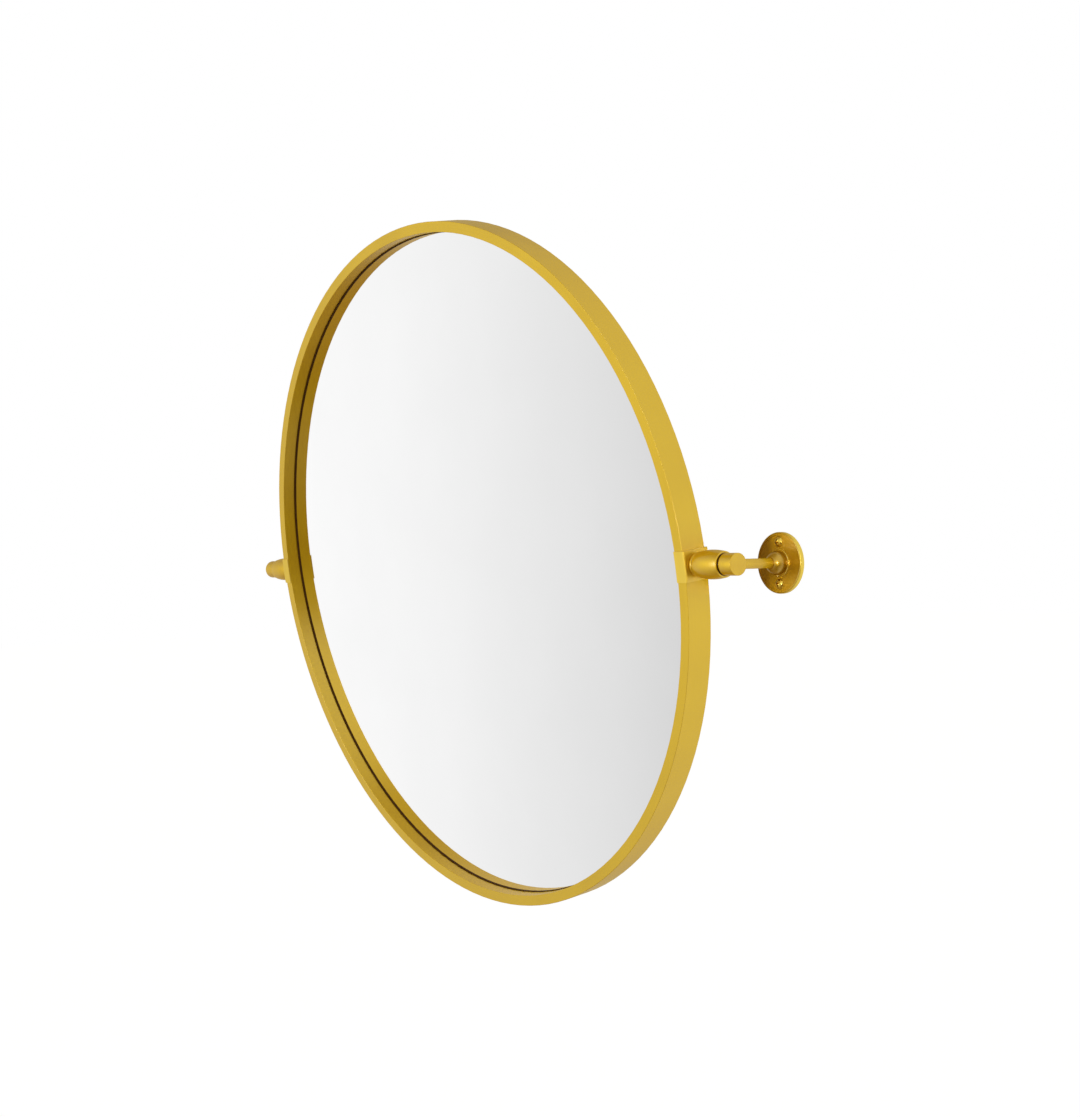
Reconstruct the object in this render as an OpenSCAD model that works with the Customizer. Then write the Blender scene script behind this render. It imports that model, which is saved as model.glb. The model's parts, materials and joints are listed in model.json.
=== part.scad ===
// Round wall mirror that tilts between two wall brackets.
// X runs along the wall, the wall is the plane Y = 0 with the mirror on its -Y side, and Z is up.
// The origin is on the wall, midway between the two wall plates, at the height of the pivots.

/* [Mirror] */
// Outer diameter of the round frame
mirror_d = 660; // [500:10:900]
// Tilt limit each way in degrees, the mirror is drawn at its forward limit
tilt = 8; // [5:1:12]
// Gap between the wall and the frame's lower edge at that limit
wall_gap = 0.7; // [0.5:0.1:20]
// Distance from the pivot axis to the rear of the frame
pivot_rear = 12; // [10:0.5:13]

/* [Frame tube] */
// Width of the tube as seen from the front
frame_w = 10; // [9:0.5:14]
// Depth of the tube from front to back
frame_depth = 25; // [20:1:40]
// Wall of the tube
frame_wall = 1.2; // [1:0.1:2]
// Rounding of the tube's outer edges
frame_edge_r = 0.4; // [0.3:0.1:1.2]

/* [Glass and backing] */
// Thickness of the mirror glass
glass_t = 4; // [3:0.1:6]
// Gap between the edge of the glass and the frame, filled by a dark seal
glass_gap = 0.8; // [0.5:0.1:2]
// Height of the seal in front of the glass
seal_h = 1.2; // [0.5:0.1:2]
// Depth of the seal in the gap beside the glass
seal_depth = 1.5; // [0.5:0.1:2.5]
// Thickness of the foam tape between the glass and the board
tape_t = 1; // [0.6:0.1:2]
// Width of each strip of foam tape
tape_w = 40; // [20:5:60]
// Distance between neighbouring strips of foam tape
tape_pitch = 160; // [80:10:200]
// Distance from the ends of the tape strips to the edge of the glass
tape_inset = 20; // [10:5:60]
// Thickness of the backing board
board_t = 4; // [3:0.1:6]
// Gap between the edge of the board and the frame
board_gap = 1; // [0.5:0.1:3]

/* [Support tabs] */
// Distance from the tabs to the rear of the frame
tab_margin = 0.2; // [0:0.1:1]
// Thickness of the tabs that hold the board
tab_t = 1.5; // [1:0.1:3]
// Width of each tab
tab_w = 20; // [12:1:30]
// Distance each tab reaches in from the frame
tab_reach = 22; // [16:1:30]
// Number of tabs in each quarter of the frame, evenly spaced between pivot and top or bottom
tab_count_per_quarter = 2; // [1:1:4]
// Diameter of the screws through the tabs
board_screw_d = 2.5; // [2:0.1:3]
// Depth of those screws in the board
board_screw_grip = 2.2; // [1.5:0.1:2.5]
// Distance from the inner end of a tab to its screw
board_screw_inset = 8; // [5:0.5:10]
// Head diameter of those screws
board_screw_head_d = 5.6; // [4.5:0.1:7]
// Head height of those screws
board_screw_head_h = 1.6; // [1.2:0.1:2]

/* [Frame clips] */
// Height of each clip along the frame
clip_h = 26; // [24:1:40]
// Thickness of the clip beside and behind the frame
clip_t = 2; // [1.5:0.1:3]
// Thickness of the clip in front of the frame
clip_front_t = 1; // [0.8:0.1:3]
// Clearance between a clip and the frame
clip_fit = 0.05; // [0:0.01:0.2]
// Rounding of the clip's outer corners
clip_edge_r = 1.4; // [0.3:0.1:1.4]
// Diameter of the screws that fix a clip to the frame
clip_screw_d = 3; // [2.5:0.1:3.5]
// Length of those screws below the head
clip_screw_l = 7; // [5:0.5:9]
// Distance between the two screws of a clip
clip_screw_pitch = 14; // [10:0.5:16]
// Head diameter of those screws
clip_screw_head_d = 5.6; // [4.5:0.1:6.5]
// Head height of those screws
clip_screw_head_h = 1.8; // [1.4:0.1:2.4]

/* [Pivots] */
// Diameter of the collar between clip and barrel
collar_d = 20.4; // [19.4:0.1:22]
// Thickness of the collar
collar_t = 3; // [2:0.1:4]
// Diameter of the collar's spigot inside the barrel
spigot_d = 15; // [13:0.1:16]
// Length of the collar's spigot
spigot_l = 8; // [5:0.5:12]
// Length of the barrel
barrel_l = 31.2; // [26:0.1:50]
// Diameter of the barrel at its middle
barrel_d = 24.4; // [23:0.1:26]
// Diameter of the barrel at its ends
barrel_end_d = 21.2; // [20.2:0.1:22]
// Chamfer of the barrel's ends
barrel_chamfer = 0.8; // [0.2:0.1:1]
// Width of the groove at each end of the barrel
groove_w = 1; // [0.6:0.1:1.4]
// Wall left between those grooves and the bores inside
groove_wall = 0.5; // [0.4:0.1:0.9]
// Outer diameter of the bush in the barrel
bush_d = 12; // [10.5:0.1:12.6]
// Diameter of the pivot pin
pin_d = 8; // [6:0.1:9]
// Depth of the pivot pin in the post
pin_depth = 9; // [6:0.5:11]
// Gap between the inner end of the pin and the spigot
pin_end_gap = 0.6; // [0.2:0.1:2]
// Radial clearance of the pin in the bush
running_fit = 0.05; // [0.02:0.01:0.1]
// Radial clearance of the pieces that are pressed or screwed together
press_fit = 0.02; // [0.01:0.01:0.05]
// Diameter of the friction washer
washer_d = 16; // [13.5:0.1:16.4]
// Thickness of the friction washer
washer_t = 1.7; // [1:0.1:3]
// Radial clearance of the pin in the friction washer
washer_fit = 0.4; // [0.2:0.1:0.6]
// Gap between the barrel and the post
joint_gap = 0.4; // [0.3:0.1:1]
// Gap between the friction washer and the post
washer_gap = 0.1; // [0.05:0.05:0.2]

/* [Posts and arms] */
// Diameter of the post that ends each bracket
post_d = 18.5; // [16:0.1:22]
// Length of the post
post_l = 13.9; // [12:0.1:24]
// Chamfer of the post's ends
post_chamfer = 0.3; // [0.1:0.1:0.6]
// Diameter of the arm from post to wall plate
arm_d = 8.4; // [6:0.1:8.6]
// Distance from the inner end of the post to the arm's axis
arm_setback = 4.4; // [4.4:0.1:6]
// Wall left in the post between the arm and the pin
arm_pin_wall = 0.6; // [0.4:0.1:1.5]
// Wall left in the wall plate behind the arm
arm_back_wall = 2.5; // [1.5:0.1:3]

/* [Wall plates] */
// Diameter of the wall plate
plate_d = 51; // [50:1:70]
// Thickness of the wall plate at its rim
plate_t = 4; // [3.5:0.1:6]
// Rounding of the rim's front edge
rim_round = 1.3; // [0.5:0.1:2]
// Width of the raised rim
rim_w = 2.6; // [2.1:0.1:4]
// Height of the raised rim over the plate's face
rim_step = 0.5; // [0.2:0.1:1]
// Diameter of the raised ring round the hub
hub_ring_d = 24; // [21:0.1:25.5]
// Height of that ring over the plate's face
hub_ring_h = 1.3; // [0.6:0.1:2]
// Rounding of that ring's edge
hub_ring_round = 0.5; // [0.2:0.1:0.6]
// Radius of the domed hub
hub_r = 10; // [8.5:0.1:10.4]
// Height of the hub over the rim of the plate
hub_h = 10.1; // [8.6:0.1:10.4]
// Height of the centre of the hub's dome over the plate's rim
hub_centre_h = 1.5; // [1:0.1:2.5]
// Distance between the two wall screws of a plate
screw_pitch = 35; // [34:0.5:36.5]
// Diameter of the wall screws
screw_d = 4; // [3.5:0.1:4.5]
// Length of the wall screws behind the plate
screw_reach = 14; // [8:1:60]
// Length of the point of a wall screw
screw_tip_l = 3; // [1:0.5:5]
// Head diameter of the wall screws
screw_head_d = 9; // [7:0.1:9.4]
// Head height of the wall screws
screw_head_h = 2.7; // [1.8:0.1:3]
// Radial clearance of the wall screws in the plate
screw_hole_fit = 0.25; // [0.1:0.05:0.5]
// Diameter of the grub screw that holds the arm
grub_d = 4; // [3:0.1:5]
// Length of that grub screw
grub_l = 5; // [3:0.1:5.4]
// Width of the hexagon socket in the grub screw
grub_key = 2; // [1.5:0.1:2.4]

/* [Hidden] */
$fn = 96;
RING_FN = 240;

// Colours
GOLD = [0.80, 0.65, 0.25];
DEEP_GOLD = [0.68, 0.52, 0.16];
GLASS = [0.86, 0.88, 0.89];
BOARD = [0.56, 0.44, 0.30];
FOAM = [0.92, 0.92, 0.90];
STEEL = [0.62, 0.63, 0.64];
NYLON = [0.16, 0.15, 0.14];
SEAL = [0.20, 0.12, 0.04];
BRONZE = [0.62, 0.47, 0.28];

// Radii and depths of the mirror, depths counted from the front of the frame
frame_r = mirror_d / 2;
frame_inner_r = frame_r - frame_w;
glass_r = frame_inner_r - glass_gap;
board_r = frame_inner_r - board_gap;
pivot_depth = frame_depth - pivot_rear;
tab_rear = frame_depth - tab_margin;
tab_front = tab_rear - tab_t;
board_front = tab_front - board_t;
tape_front = board_front - tape_t;
glass_front = tape_front - glass_t;

// Distance from the pivot axis to the wall: the frame's lower rear edge just clears it
pivot_to_wall = frame_r * sin(tilt) + pivot_rear * cos(tilt) + wall_gap;

// Stations along the pivot axis, counted from the middle of the mirror
clip_x = frame_r + clip_t;
collar_x = clip_x + collar_t;
spigot_end_x = collar_x + spigot_l;
barrel_end_x = collar_x + barrel_l;
post_x = barrel_end_x + joint_gap;
post_end_x = post_x + post_l;
washer_x = post_x - washer_gap - washer_t;
pin_x = spigot_end_x + pin_end_gap;
pin_end_x = post_x + pin_depth;
arm_x = post_x + arm_setback;

// Wall plate heights, counted from the wall
face_h = plate_t - rim_step;
hub_top = plate_t + hub_h;
dome_centre = plate_t + hub_centre_h;

// Small clearances that only keep neighbouring faces apart
END_GAP = 0.1;
CHAMFER = 0.3;
DRIVE_W = 1;
CUT = 1;

// ---- Placing ----

// Turns a part drawn along +Z so that it points along +X, on the pivot axis
module along_x(x = 0) {
    translate([x, 0, 0])
        rotate([0, 90, 0])
            children();
}

// Puts the mirror's own frame, depth along +Y from its front face, into the tilted position
module on_mirror() {
    translate([0, -pivot_to_wall, 0])
        rotate([tilt, 0, 0])
            translate([0, -pivot_depth, 0])
                children();
}

// Puts a part on the pivot axis of the tilted mirror
module on_mirror_pivot() {
    on_mirror()
        translate([0, pivot_depth, 0])
            children();
}

// Puts a part on the fixed pivot axis
module on_fixed_pivot() {
    translate([0, -pivot_to_wall, 0])
        children();
}

// Turns a part drawn along +Z so that it stands out from the wall, on the arm's axis
module on_wall() {
    translate([arm_x, 0, 0])
        rotate([90, 0, 0])
            children();
}

// Turns a profile of radius and depth round the mirror's centre
module round_mirror() {
    rotate([-90, 0, 0])
        rotate_extrude($fn = RING_FN)
            children();
}

// Keeps a part on the right or mirrors it to the left
module on_side(left) {
    if (left)
        mirror([1, 0, 0])
            children();
    else
        children();
}

// ---- Small shapes ----

// Rectangle with rounded corners, from one corner at the origin
module rounded_rect(w, h, r) {
    translate([r, 0])
        square([w - 2 * r, h]);
    translate([0, r])
        square([w, h - 2 * r]);
    for (x = [r, w - r])
        for (y = [r, h - r])
            translate([x, y])
                circle(r);
}

// Half of a domed section: base radius r, height h
module dome_profile(r, h) {
    ball_r = (r * r + h * h) / (2 * h);
    intersection() {
        square([r, h]);
        translate([0, h - ball_r])
            circle(ball_r);
    }
}

// Rod along +Z with chamfered ends
module chamfered_rod(d, l, chamfer) {
    rotate_extrude()
        polygon([
            [0, 0], [d / 2 - chamfer, 0], [d / 2, chamfer],
            [d / 2, l - chamfer], [d / 2 - chamfer, l], [0, l]
        ]);
}

// Cross-shaped drive, cut downwards from the top of a head
module cross_drive(span, depth, top) {
    translate([-span / 2, -DRIVE_W / 2, top - depth])
        cube([span, DRIVE_W, depth + CUT]);
    translate([-DRIVE_W / 2, -span / 2, top - depth])
        cube([DRIVE_W, span, depth + CUT]);
}

// Pan-head screw: the head stands on Z = 0 and the shank runs down from it
module pan_screw(d, l, head_d, head_h) {
    difference() {
        union() {
            rotate_extrude()
                dome_profile(head_d / 2, head_h);
            translate([0, 0, -l])
                chamfered_rod(d, l + CHAMFER, CHAMFER);
        }
        cross_drive(head_d / 2, head_h / 2, head_h);
    }
}

// ---- Wall brackets ----

module plate_profile() {
    rim_r = plate_d / 2;
    square([rim_r - rim_round, face_h]);
    square([rim_r, plate_t - rim_round]);
    translate([rim_r - rim_w, 0])
        square([rim_w - rim_round, plate_t]);
    translate([rim_r - rim_round, plate_t - rim_round])
        circle(rim_round);
}

module hub_profile() {
    ring_r = hub_ring_d / 2;
    ring_top = face_h + hub_ring_h;
    square([ring_r - hub_ring_round, ring_top]);
    square([ring_r, ring_top - hub_ring_round]);
    translate([ring_r - hub_ring_round, ring_top - hub_ring_round])
        circle(hub_ring_round);
    intersection() {
        translate([0, dome_centre])
            circle(hub_r);
        square([hub_r, hub_top]);
    }
}

module wall_plate(left) {
    color(DEEP_GOLD)
        on_side(left)
            on_wall()
                difference() {
                    rotate_extrude() {
                        plate_profile();
                        hub_profile();
                    }
                    translate([0, 0, arm_back_wall])
                        cylinder(d = arm_d + 2 * press_fit, h = hub_top);
                    for (z = [-screw_pitch / 2, screw_pitch / 2])
                        translate([0, z, -CUT])
                            cylinder(d = screw_d + 2 * screw_hole_fit, h = plate_t + 2 * CUT);
                    translate([0, 0, dome_centre])
                        rotate([90, 0, 0])
                            cylinder(d = grub_d + 2 * press_fit, h = hub_r + CUT);
                }
}

// The shank is thinner inside the plate and full size from the wall plane on
module wall_screw() {
    neck_d = screw_d - 2 * screw_hole_fit;
    difference() {
        union() {
            translate([0, 0, face_h])
                rotate_extrude()
                    dome_profile(screw_head_d / 2, screw_head_h);
            cylinder(d = neck_d, h = face_h + CHAMFER);
            translate([0, 0, screw_tip_l - screw_reach])
                cylinder(d = screw_d, h = screw_reach - screw_tip_l);
            translate([0, 0, -screw_reach])
                cylinder(d1 = 0, d2 = screw_d, h = screw_tip_l);
        }
        cross_drive(screw_head_d / 2, screw_head_h / 2, face_h + screw_head_h);
    }
}

module wall_screws(left) {
    color(GOLD)
        on_side(left)
            on_wall()
                for (z = [-screw_pitch / 2, screw_pitch / 2])
                    translate([0, z, 0])
                        wall_screw();
}

module support_arm(left) {
    arm_start = arm_back_wall + END_GAP;
    arm_end = pivot_to_wall - pin_d / 2 - press_fit - arm_pin_wall - END_GAP;
    color(GOLD)
        on_side(left)
            on_wall()
                translate([0, 0, arm_start])
                    chamfered_rod(arm_d, arm_end - arm_start, CHAMFER);
}

module arm_grub_screw(left) {
    color(STEEL)
        on_side(left)
            on_wall()
                translate([0, -arm_d / 2 - END_GAP, dome_centre])
                    rotate([90, 0, 0])
                        difference() {
                            chamfered_rod(grub_d, grub_l, CHAMFER);
                            translate([0, 0, grub_l / 2])
                                cylinder(d = grub_key / cos(30), h = grub_l, $fn = 6);
                        }
}

module pivot_post(left) {
    arm_seat_y = pin_d / 2 + press_fit + arm_pin_wall;
    color(GOLD)
        on_side(left)
            on_fixed_pivot()
                difference() {
                    along_x(post_x)
                        chamfered_rod(post_d, post_l, post_chamfer);
                    along_x(post_x - CUT)
                        cylinder(d = pin_d + 2 * press_fit, h = pin_depth + END_GAP + CUT);
                    translate([arm_x, arm_seat_y, 0])
                        rotate([-90, 0, 0])
                            cylinder(d = arm_d + 2 * press_fit, h = post_d);
                }
}

module pivot_pin(left) {
    color(STEEL)
        on_side(left)
            on_fixed_pivot()
                along_x(pin_x)
                    chamfered_rod(pin_d, pin_end_x - pin_x, CHAMFER);
}

// ---- Tilting mirror ----

// Places a screw hole or screw of a clip on the rear of the frame
module at_clip_screws() {
    for (z = [-clip_screw_pitch / 2, clip_screw_pitch / 2])
        translate([frame_r - frame_w / 2, frame_depth + clip_t, z])
            rotate([-90, 0, 0])
                children();
}

module clip_screw_holes(clearance) {
    at_clip_screws()
        translate([0, 0, -frame_wall - clip_t - CUT])
            cylinder(d = clip_screw_d + 2 * clearance, h = frame_wall + clip_t + 2 * CUT);
}

// Places the support tabs or their screws, +X pointing outwards and +Z to the rear
module at_tabs() {
    for (flip_x = [0, 1])
        mirror([flip_x, 0, 0])
            for (flip_z = [0, 1])
                mirror([0, 0, flip_z])
                    for (i = [1 : tab_count_per_quarter])
                        rotate([0, -90 * i / (tab_count_per_quarter + 1), 0])
                            rotate([-90, 0, 0])
                                children();
}

module frame_ring() {
    color(GOLD)
        on_mirror()
            difference() {
                round_mirror()
                    difference() {
                        translate([frame_inner_r, 0])
                            rounded_rect(frame_w, frame_depth, frame_edge_r);
                        translate([frame_inner_r + frame_wall, frame_wall])
                            square([frame_w - 2 * frame_wall, frame_depth - 2 * frame_wall]);
                    }
                for (left = [false, true])
                    on_side(left)
                        clip_screw_holes(press_fit);
            }
}

module mirror_glass() {
    color(GLASS)
        on_mirror()
            translate([0, glass_front, 0])
                rotate([-90, 0, 0])
                    cylinder(r = glass_r, h = glass_t, $fn = RING_FN);
}

// Dark bead pressed into the gap round the glass
module glass_seal() {
    color(SEAL)
        on_mirror()
            round_mirror()
                translate([glass_r + press_fit, glass_front - seal_h])
                    square([glass_gap - 2 * press_fit, seal_h + seal_depth]);
}

module foam_tape() {
    reach = glass_r - tape_inset;
    color(FOAM)
        on_mirror()
            for (i = [-1, 0, 1]) {
                half_l = sqrt(reach * reach - pow(abs(i) * tape_pitch + tape_w / 2, 2));
                translate([i * tape_pitch - tape_w / 2, tape_front, -half_l])
                    cube([tape_w, tape_t, 2 * half_l]);
            }
}

module backing_board() {
    hole_r = frame_inner_r - tab_reach + board_screw_inset;
    color(BOARD)
        on_mirror()
            difference() {
                translate([0, board_front, 0])
                    rotate([-90, 0, 0])
                        cylinder(r = board_r, h = board_t, $fn = RING_FN);
                at_tabs()
                    translate([hole_r, 0, tab_front - board_screw_grip - END_GAP])
                        cylinder(d = board_screw_d + 2 * press_fit, h = board_t);
            }
}

module support_tab() {
    inner_r = frame_inner_r - tab_reach;
    difference() {
        intersection() {
            translate([inner_r, -tab_w / 2, tab_front])
                cube([2 * tab_reach, tab_w, tab_t]);
            cylinder(r = frame_inner_r, h = frame_depth, $fn = RING_FN);
        }
        translate([inner_r + board_screw_inset, 0, 0])
            cylinder(d = board_screw_d + 4 * press_fit, h = frame_depth + CUT);
    }
}

module support_tabs() {
    color(DEEP_GOLD)
        on_mirror()
            at_tabs()
                support_tab();
}

module board_screws() {
    color(STEEL)
        on_mirror()
            at_tabs()
                translate([frame_inner_r - tab_reach + board_screw_inset, 0, tab_rear])
                    pan_screw(board_screw_d, tab_t + board_screw_grip, board_screw_head_d, board_screw_head_h);
}

// U-shaped saddle over the frame tube, cut from a ring of the same section
module frame_clip(left) {
    outer_w = frame_w + clip_t;
    outer_depth = clip_front_t + frame_depth + clip_t;
    color(GOLD)
        on_side(left)
            on_mirror()
                difference() {
                    intersection() {
                        round_mirror()
                            difference() {
                                translate([frame_inner_r, -clip_front_t])
                                    intersection() {
                                        translate([-clip_edge_r, 0])
                                            rounded_rect(outer_w + clip_edge_r, outer_depth, clip_edge_r);
                                        square([outer_w, outer_depth]);
                                    }
                                translate([frame_inner_r - CUT, -clip_fit])
                                    square([frame_w + clip_fit + CUT, frame_depth + 2 * clip_fit]);
                            }
                        translate([0, -clip_front_t - CUT, -clip_h / 2])
                            cube([clip_x + CUT, outer_depth + 2 * CUT, clip_h]);
                    }
                    clip_screw_holes(2 * press_fit);
                }
}

module clip_screws(left) {
    color(STEEL)
        on_side(left)
            on_mirror()
                at_clip_screws()
                    pan_screw(clip_screw_d, clip_screw_l, clip_screw_head_d, clip_screw_head_h);
}

// Beaded collar with a spigot, its inner face follows the curve of the clip
module clip_collar(left) {
    base = CUT;
    bead_r = collar_t / 2;
    color(GOLD)
        on_side(left)
            on_mirror()
                difference() {
                    translate([0, pivot_depth, 0])
                        along_x(clip_x)
                            rotate_extrude() {
                                translate([0, -base])
                                    square([collar_d / 2 - bead_r, collar_t + base]);
                                translate([collar_d / 2 - bead_r, bead_r])
                                    circle(bead_r);
                                square([spigot_d / 2, collar_t + spigot_l]);
                            }
                    rotate([-90, 0, 0])
                        cylinder(r = clip_x, h = frame_depth, $fn = RING_FN);
                }
}

// Half section of the barrel: an arc swells from the ends to the middle, between two grooves
module barrel_profile() {
    swell = (barrel_d - barrel_end_d) / 2;
    arc_r = (barrel_l * barrel_l / 4 + swell * swell) / (2 * swell);
    half_l = barrel_l / 2;
    body_half_l = half_l - groove_w;
    face_r = barrel_d / 2 - arc_r + sqrt(arc_r * arc_r - body_half_l * body_half_l) - barrel_chamfer;
    groove_r = max(spigot_d, washer_d) / 2 + press_fit + groove_wall;
    square([groove_r, barrel_l]);
    intersection() {
        translate([barrel_d / 2 - arc_r, half_l])
            circle(arc_r, $fn = RING_FN);
        polygon([
            [0, groove_w], [face_r, groove_w], [face_r + body_half_l, half_l],
            [face_r, barrel_l - groove_w], [0, barrel_l - groove_w]
        ]);
    }
}

module pivot_barrel(left) {
    color(GOLD)
        on_side(left)
            on_mirror_pivot()
                difference() {
                    along_x(collar_x)
                        rotate_extrude()
                            barrel_profile();
                    along_x(collar_x - CUT)
                        cylinder(d = spigot_d + 2 * press_fit, h = spigot_l + END_GAP + CUT);
                    along_x(collar_x)
                        cylinder(d = bush_d + 2 * press_fit, h = barrel_l);
                    along_x(washer_x - END_GAP)
                        cylinder(d = washer_d + 2 * press_fit, h = washer_t + CUT);
                }
}

module pivot_bush(left) {
    bush_x = spigot_end_x + 2 * END_GAP;
    bush_l = washer_x - END_GAP - bush_x;
    color(BRONZE)
        on_side(left)
            on_mirror_pivot()
                along_x(bush_x)
                    difference() {
                        cylinder(d = bush_d, h = bush_l);
                        translate([0, 0, -CUT])
                            cylinder(d = pin_d + 2 * running_fit, h = bush_l + 2 * CUT);
                    }
}

module friction_washer(left) {
    color(NYLON)
        on_side(left)
            on_mirror_pivot()
                along_x(washer_x)
                    difference() {
                        cylinder(d = washer_d, h = washer_t);
                        translate([0, 0, -CUT])
                            cylinder(d = pin_d + 2 * washer_fit, h = washer_t + 2 * CUT);
                    }
}

// ---- Nodes ----

wall_plate(true);  // wall_plate_left
wall_plate(false);  // wall_plate_right
wall_screws(true);  // wall_screws_left
wall_screws(false);  // wall_screws_right
support_arm(true);  // support_arm_left
support_arm(false);  // support_arm_right
arm_grub_screw(true);  // arm_grub_screw_left
arm_grub_screw(false);  // arm_grub_screw_right
pivot_post(true);  // pivot_post_left
pivot_post(false);  // pivot_post_right
pivot_pin(true);  // pivot_pin_left
pivot_pin(false);  // pivot_pin_right
frame_ring();
mirror_glass();
glass_seal();
foam_tape();
backing_board();
support_tabs();
board_screws();
frame_clip(true);  // frame_clip_left
frame_clip(false);  // frame_clip_right
clip_screws(true);  // clip_screws_left
clip_screws(false);  // clip_screws_right
clip_collar(true);  // clip_collar_left
clip_collar(false);  // clip_collar_right
pivot_barrel(true);  // pivot_barrel_left
pivot_barrel(false);  // pivot_barrel_right
pivot_bush(true);  // pivot_bush_left
pivot_bush(false);  // pivot_bush_right
friction_washer(true);  // friction_washer_left
friction_washer(false);  // friction_washer_right
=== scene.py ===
"""Looks of the pivot wall mirror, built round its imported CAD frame.

All lengths are in metres, in the row frame: X along the wall, +Y into the wall, Z up, with the
origin on the wall midway between the two wall plates, at the height of the pivots.
"""

import json
import math

import bmesh
import bpy
from mathutils import Matrix, Vector


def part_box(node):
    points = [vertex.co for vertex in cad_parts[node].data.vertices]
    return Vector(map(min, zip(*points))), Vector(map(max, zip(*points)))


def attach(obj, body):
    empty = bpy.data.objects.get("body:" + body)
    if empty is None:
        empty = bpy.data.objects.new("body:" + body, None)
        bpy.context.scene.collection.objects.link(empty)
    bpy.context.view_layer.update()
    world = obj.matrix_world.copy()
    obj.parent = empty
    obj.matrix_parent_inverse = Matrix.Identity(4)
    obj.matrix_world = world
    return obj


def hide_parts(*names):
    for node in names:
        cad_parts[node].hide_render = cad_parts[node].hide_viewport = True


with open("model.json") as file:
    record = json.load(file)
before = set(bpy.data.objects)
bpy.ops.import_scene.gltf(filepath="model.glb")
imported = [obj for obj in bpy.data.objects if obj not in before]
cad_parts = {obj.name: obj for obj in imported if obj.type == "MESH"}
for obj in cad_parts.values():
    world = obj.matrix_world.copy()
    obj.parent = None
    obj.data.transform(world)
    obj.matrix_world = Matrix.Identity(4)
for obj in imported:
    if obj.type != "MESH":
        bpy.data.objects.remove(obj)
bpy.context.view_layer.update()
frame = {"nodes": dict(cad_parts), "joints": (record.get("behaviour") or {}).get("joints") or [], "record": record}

FIXED = "wall_mount"
TILTING = "tilting_mirror"
SIDE_NAMES = {-1: "left", 1: "right"}

# ---------------------------------------------------------------- sizes

# Lengths of the pieces are in millimetres, as in the part's source; the frame's are in metres.
M = 1000


def low_x(node):
    """Lowest X of a node, in millimetres."""
    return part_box(node)[0].x * M


def high_x(node):
    """Highest X of a node, in millimetres."""
    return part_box(node)[1].x * M


# The mirror: its pivot and its lean at rest, the radius and width of its frame, depths from the
# front of the frame, and where the support tabs and the rear screws sit.
PIVOT = Vector(frame["joints"][0]["pos_m"])
TILT = math.radians(8)
FRAME_R = high_x("frame_ring")
FRAME_W = 10
PIVOT_DEPTH = 13
GLASS_FRONT = 14.3
CLIP_REAR = 27
TAB_REAR = 24.8
TAB_ANGLES = (30, 60)
BOARD_SCREW_R = 306
CLIP_SCREW_PITCH = 14

# The pieces on the pivot axis, by distance from the middle of the mirror and by radius.
COLLAR_X = low_x("clip_collar_right")
CLIP_X = FRAME_R + 2
BARREL_X = low_x("pivot_barrel_right")
BARREL_END_X = high_x("pivot_barrel_right")
POST_X = low_x("pivot_post_right")
POST_END_X = high_x("pivot_post_right")
ARM_X = (low_x("support_arm_right") + high_x("support_arm_right")) / 2
COLLAR_R = 10.2
SEAT_STEP = 0.5
SEAT_SHY = 0.1
SPIGOT_R = 7.5
SPIGOT_L = 7.9
SPIGOT_GAP = 0.02
BARREL_R = 12.2
BARREL_END_R = 10.6
BARREL_EDGE = 0.6
BARREL_STEPS = 110
GROOVE_W = 1
GROOVE_R = 8.52
GROOVE_TOP_R = 9.75
WASHER_R = 8.02
WASHER_RECESS = 1.8
POST_R = 9.25
POST_INNER_EDGE = 0.45
POST_OUTER_EDGE = 0.35
PIN_R = 4
PIN_DEPTH = 9

# Fine turned lines on a barrel, by distance from its outer edge.
BARREL_LINES = (2.0, 3.6, 5.4)
LINE_DEPTH = 0.02
LINE_WIDTH = 0.35

# The wall plates: their radius, how far the face that the screws sit on stands off the wall, the
# ring round the hub, and the spacing of the screws.
PLATE_R = 25.5
PLATE_FACE = 3.5
HUB_RING_R = 12
SCREW_PITCH = 35

# The screws: heads with a cross drive, and threaded shanks that run back from under the head.
WALL_HEAD = {"radius": 4.5, "height": 2.7, "drive_span": 4.7, "drive_depth": 1.8}
WALL_SHANK = {"radius": 2.0, "length": 14 + PLATE_FACE, "pitch": 1.8, "tip": 3.5}
WALL_TURNS = (0.5, -0.3)
CLIP_HEAD = {"radius": 2.8, "height": 1.8, "drive_span": 3.0, "drive_depth": 1.1}
CLIP_SHANK = {"radius": 1.5, "length": 7, "pitch": 0.6}
BOARD_HEAD = {"radius": 2.8, "height": 1.6, "drive_span": 3.0, "drive_depth": 1.0}
BOARD_SHANK = {"radius": 1.25, "length": 3.7, "pitch": 1.0}

# Shares of a head's height and of its drive's span: the broken edge, and the drive's taper.
HEAD_EDGE = 0.12
DRIVE_FLOOR = 0.45
DRIVE_WING = 0.24
DRIVE_WING_FLOOR = 0.15
HEAD_STEPS = 14

# Shares of a shank's radius: the depth of its thread and the end of its tip.
THREAD_DEPTH = 0.2
TIP_END = 0.02
ROWS_PER_TURN = 6


def on_fixed_pivot():
    """Places a piece given in millimetres from the middle of the pivot axis."""
    return Matrix.Translation(PIVOT) @ Matrix.Scale(1 / M, 4)


def on_mirror_pivot():
    """The same on the tilted mirror."""
    return Matrix.Translation(PIVOT) @ Matrix.Rotation(TILT, 4, "X") @ Matrix.Scale(1 / M, 4)


def on_mirror():
    """Places a piece by the mirror's own axes: X across, Y depth from the frame's front, Z up."""
    return on_mirror_pivot() @ Matrix.Translation((0, -PIVOT_DEPTH, 0))


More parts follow.
